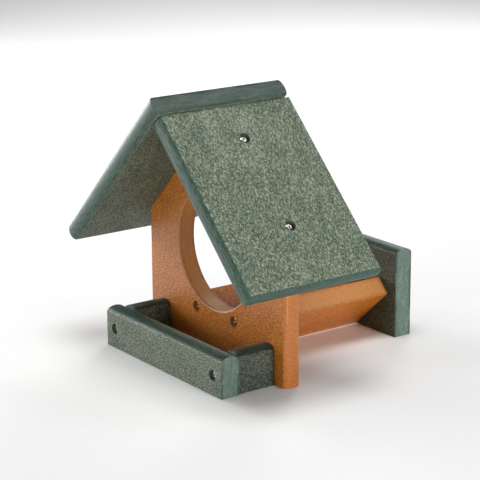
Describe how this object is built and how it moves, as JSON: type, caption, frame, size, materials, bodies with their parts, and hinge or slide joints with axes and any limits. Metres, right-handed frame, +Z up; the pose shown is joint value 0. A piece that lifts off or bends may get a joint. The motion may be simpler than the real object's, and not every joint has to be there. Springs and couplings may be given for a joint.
{
  "type": "jar bird feeder",
  "caption": "Gable-roofed jar feeder of recycled-plastic boards: a wall with a round hole, an open perch frame in front and a V cradle with a back board behind.",
  "frame": {"origin": "centre of the bounding box, at the level the boards stand on", "axes": "+X to the right seen from the front, +Y from the perch frame towards the back board, +Z up"},
  "size_m": [0.3134, 0.284, 0.2774],
  "materials": {
    "green_board": "recycled plastic lumber, speckled green",
    "cedar_board": "recycled plastic lumber, cedar colour",
    "screw_steel": "stainless steel"
  },
  "bodies": {
    "root": {"gable_wall": "cedar_board", "cradle_board_left": "cedar_board", "cradle_board_right": "cedar_board", "roof_panel_left": "green_board", "roof_panel_right": "green_board", "tray_front_board": "green_board", "tray_arm_left": "green_board", "tray_arm_right": "green_board", "back_board": "green_board", "roof_screw_left_upper": "screw_steel", "roof_screw_left_lower": "screw_steel", "roof_screw_right_upper": "screw_steel", "roof_screw_right_lower": "screw_steel", "tray_front_screw_left": "screw_steel", "tray_front_screw_right": "screw_steel", "tray_arm_screw_left": "screw_steel", "tray_arm_screw_right": "screw_steel", "cradle_front_screw_left": "screw_steel", "cradle_front_screw_right": "screw_steel", "cradle_rear_screw_left": "screw_steel", "cradle_rear_screw_right": "screw_steel"}
  },
  "joints": []
}
